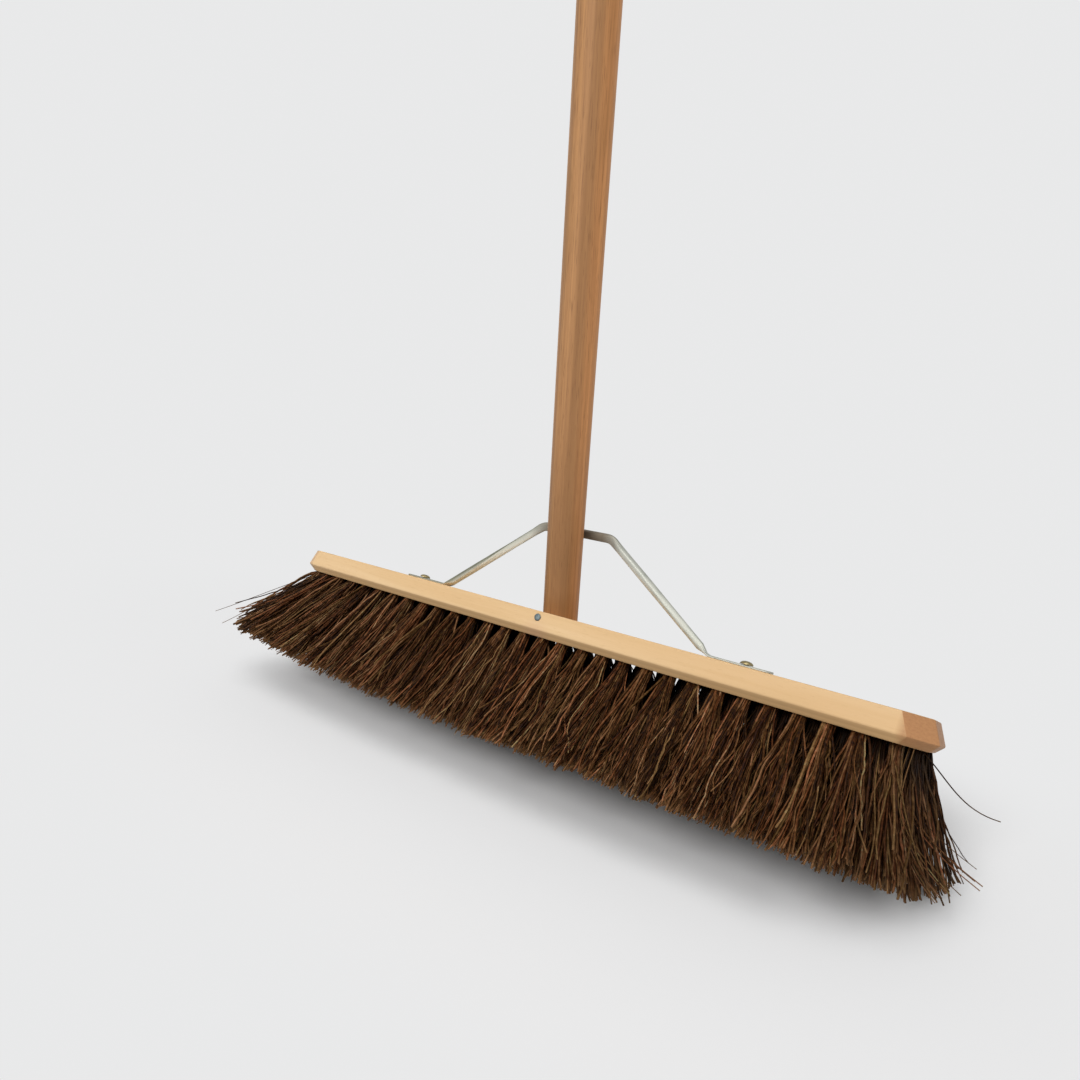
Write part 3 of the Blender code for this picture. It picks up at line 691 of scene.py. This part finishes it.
def tube_vertices(points, radii):
    """A ring round each station of each centre line, a little smaller towards the tip."""
    ahead = np.gradient(points, axis=1)
    ahead /= np.maximum(np.linalg.norm(ahead, axis=2, keepdims=True), 1e-12)
    first = np.cross(ahead, np.broadcast_to((0.0, 1.0, 0.0), ahead.shape))
    first /= np.maximum(np.linalg.norm(first, axis=2, keepdims=True), 1e-12)
    second = np.cross(ahead, first)
    t = np.linspace(0.0, 1.0, points.shape[1])
    taper = (1.0 - TIP_TAPER * t ** 2.0)[None, :, None, None]
    turn = np.linspace(0.0, 2 * math.pi, SIDES, endpoint=False)
    ring = (np.cos(turn)[None, None, :, None] * first[:, :, None, :]
            + np.sin(turn)[None, None, :, None] * second[:, :, None, :])
    return points[:, :, None, :] + ring * radii[:, None, None, None] * taper


def tube_faces(count, stations):
    """The sides of every tube, and then all the feet and all the tips."""
    start = np.arange(count) * stations * SIDES
    base = start[:, None, None]
    row = (np.arange(stations - 1) * SIDES)[None, :, None]
    side = np.arange(SIDES)[None, None, :]
    after = (side + 1) % SIDES
    quads = np.stack(np.broadcast_arrays(base + row + side, base + row + after,
                                         base + row + SIDES + after, base + row + SIDES + side), axis=-1)
    foot = start[:, None] + np.arange(SIDES)[::-1][None, :]
    tip = (start + (stations - 1) * SIDES)[:, None] + np.arange(SIDES)[None, :]
    return np.concatenate((quads.reshape(-1, 4), foot, tip))


def tube_object(name, points, radii, tints, material):
    """One mesh of four-sided tubes, which carry their tint and the share of the way to the tip."""
    count, stations = points.shape[:2]
    faces = tube_faces(count, stations)
    mesh = bpy.data.meshes.new(name)
    mesh.vertices.add(count * stations * SIDES)
    mesh.vertices.foreach_set("co", tube_vertices(points, radii).astype(np.float32).ravel())
    mesh.loops.add(len(faces) * 4)
    mesh.loops.foreach_set("vertex_index", faces.astype(np.int32).ravel())
    mesh.polygons.add(len(faces))
    mesh.polygons.foreach_set("loop_start", np.arange(0, len(faces) * 4, 4, dtype=np.int32))
    mesh.update(calc_edges=True)
    mesh.validate()
    smooth = np.ones(len(faces), bool)
    smooth[-2 * count:] = False
    mesh.polygons.foreach_set("use_smooth", smooth)
    along = np.tile(np.repeat(np.linspace(0.0, 1.0, stations), SIDES), count)
    for label, values in (("tint", np.repeat(tints, stations * SIDES)), ("along", along)):
        layer = mesh.attributes.new(label, "FLOAT", "POINT")
        layer.data.foreach_set("value", values.astype(np.float32))
    mesh.materials.append(material)
    obj = bpy.data.objects.new(name, mesh)
    bpy.context.scene.collection.objects.link(obj)
    return obj


def column_tuft(rng, column, row):
    """The paths of the tuft at one column and row, set closer together in the two end columns."""
    narrow = END_ROWS_SHARE if column in (0, COLUMNS - 1) else 1.0
    x = column_x(column) + ROW_SHIFTS[row]
    if column == COLUMNS - 1 and row < 3:
        x += LAST_COLUMN_SHIFT
    count = FIBRES_PER_TUFT + (FULLER_BY if column < FULLER_COLUMNS else 0)
    return tuft_paths(rng, x, row, narrow, count)


def make_fibres(material):
    """Ten pieces of fibres, each in place of three columns' solids; the last has the strays too."""
    rng = np.random.default_rng(SEED)
    low, high = (np.array(corner) for corner in size_at_load)
    group = COLUMNS_PER_PIECE
    for start in range(0, COLUMNS, group):
        tufts = [column_tuft(rng, column, row)
                 for column in range(start, start + group) for row in range(len(ROWS))]
        if start + group == COLUMNS:
            tufts.append(stray_paths(rng))
        lines, radii, tints = (np.concatenate(values) for values in zip(*tufts))
        points = above_floor(to_world(lines)).clip(low - BEYOND_CAD, high + BEYOND_CAD)
        obj = tube_object(f"fibres_{start // group + 1}", points, radii, tints, material)
        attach(obj, "root")
        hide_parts(*[f"bristle_column_{c + 1:02d}" for c in range(start, start + group)])


def make_floor():
    half = FLOOR_HALF
    mesh = bpy.data.meshes.new("floor")
    mesh.from_pydata([(-half, -half, 0.0), (half, -half, 0.0), (half, half, 0.0), (-half, half, 0.0)],
                     [], [(0, 1, 2, 3)])
    mesh.materials.append(floor_material())
    floor = bpy.data.objects.new("floor", mesh)
    bpy.context.scene.collection.objects.link(floor)


def make_world():
    """Soft light all round, with the background's colour for the camera and for reflections."""
    world = bpy.data.worlds.new("studio")
    bpy.context.scene.world = world
    world.use_nodes = True
    tree = world.node_tree
    shown = tree.nodes["Background"]
    shown.inputs["Color"].default_value = BACKGROUND
    shown.inputs["Strength"].default_value = 1.0
    light = tree.nodes.new("ShaderNodeBackground")
    light.inputs["Color"].default_value = (1.0, 1.0, 1.0, 1.0)
    light.inputs["Strength"].default_value = WORLD_LIGHT
    path = tree.nodes.new("ShaderNodeLightPath")
    seen = maths(tree, "MAXIMUM", path.outputs["Is Camera Ray"], path.outputs["Is Glossy Ray"])
    blend = tree.nodes.new("ShaderNodeMixShader")
    tree.links.new(seen, blend.inputs["Fac"])
    tree.links.new(light.outputs["Background"], blend.inputs[1])
    tree.links.new(shown.outputs["Background"], blend.inputs[2])
    tree.links.new(blend.outputs["Shader"], tree.nodes["World Output"].inputs["Surface"])


def area_light(name, place, size, level):
    """A round lamp aimed at the head, its power set by the light that it gives the floor there."""
    reach = math.dist(place, LAMP_AIM)
    data = bpy.data.lights.new(name, "AREA")
    data.shape = "DISK"
    data.size = size
    data.energy = level * math.pi * reach ** 3 / (place[2] - LAMP_AIM[2])
    lamp = bpy.data.objects.new(name, data)
    lamp.location = place
    target = bpy.data.objects.new(name + "_aim", None)
    target.location = LAMP_AIM
    for obj in (lamp, target):
        bpy.context.scene.collection.objects.link(obj)
    hold = lamp.constraints.new("TRACK_TO")
    hold.target = target
    hold.track_axis = "TRACK_NEGATIVE_Z"
    hold.up_axis = "UP_Y"


def make_camera():
    """The photo's own view, from a perspective fit to it."""
    data = bpy.data.cameras.new("camera")
    data.sensor_width = 36.0
    data.lens = 25.83
    data.shift_x = 0.0517
    data.shift_y = 0.1137
    data.clip_start = 0.01
    data.clip_end = 200.0
    camera = bpy.data.objects.new("camera", data)
    camera.location = (0.33917, -0.49188, 0.35874)
    camera.rotation_euler = (math.radians(66.735), math.radians(-1.222), math.radians(38.794))
    bpy.context.scene.collection.objects.link(camera)
    bpy.context.scene.camera = camera


def build():
    bpy.context.scene.view_settings.view_transform = "Standard"
    stock_wood = finish_cad()
    make_bed(stock_wood)
    make_fibres(fibre_material())
    make_floor()
    make_world()
    for name, place, size, level in LAMPS:
        area_light(name, place, size, level)
    make_camera()


build()
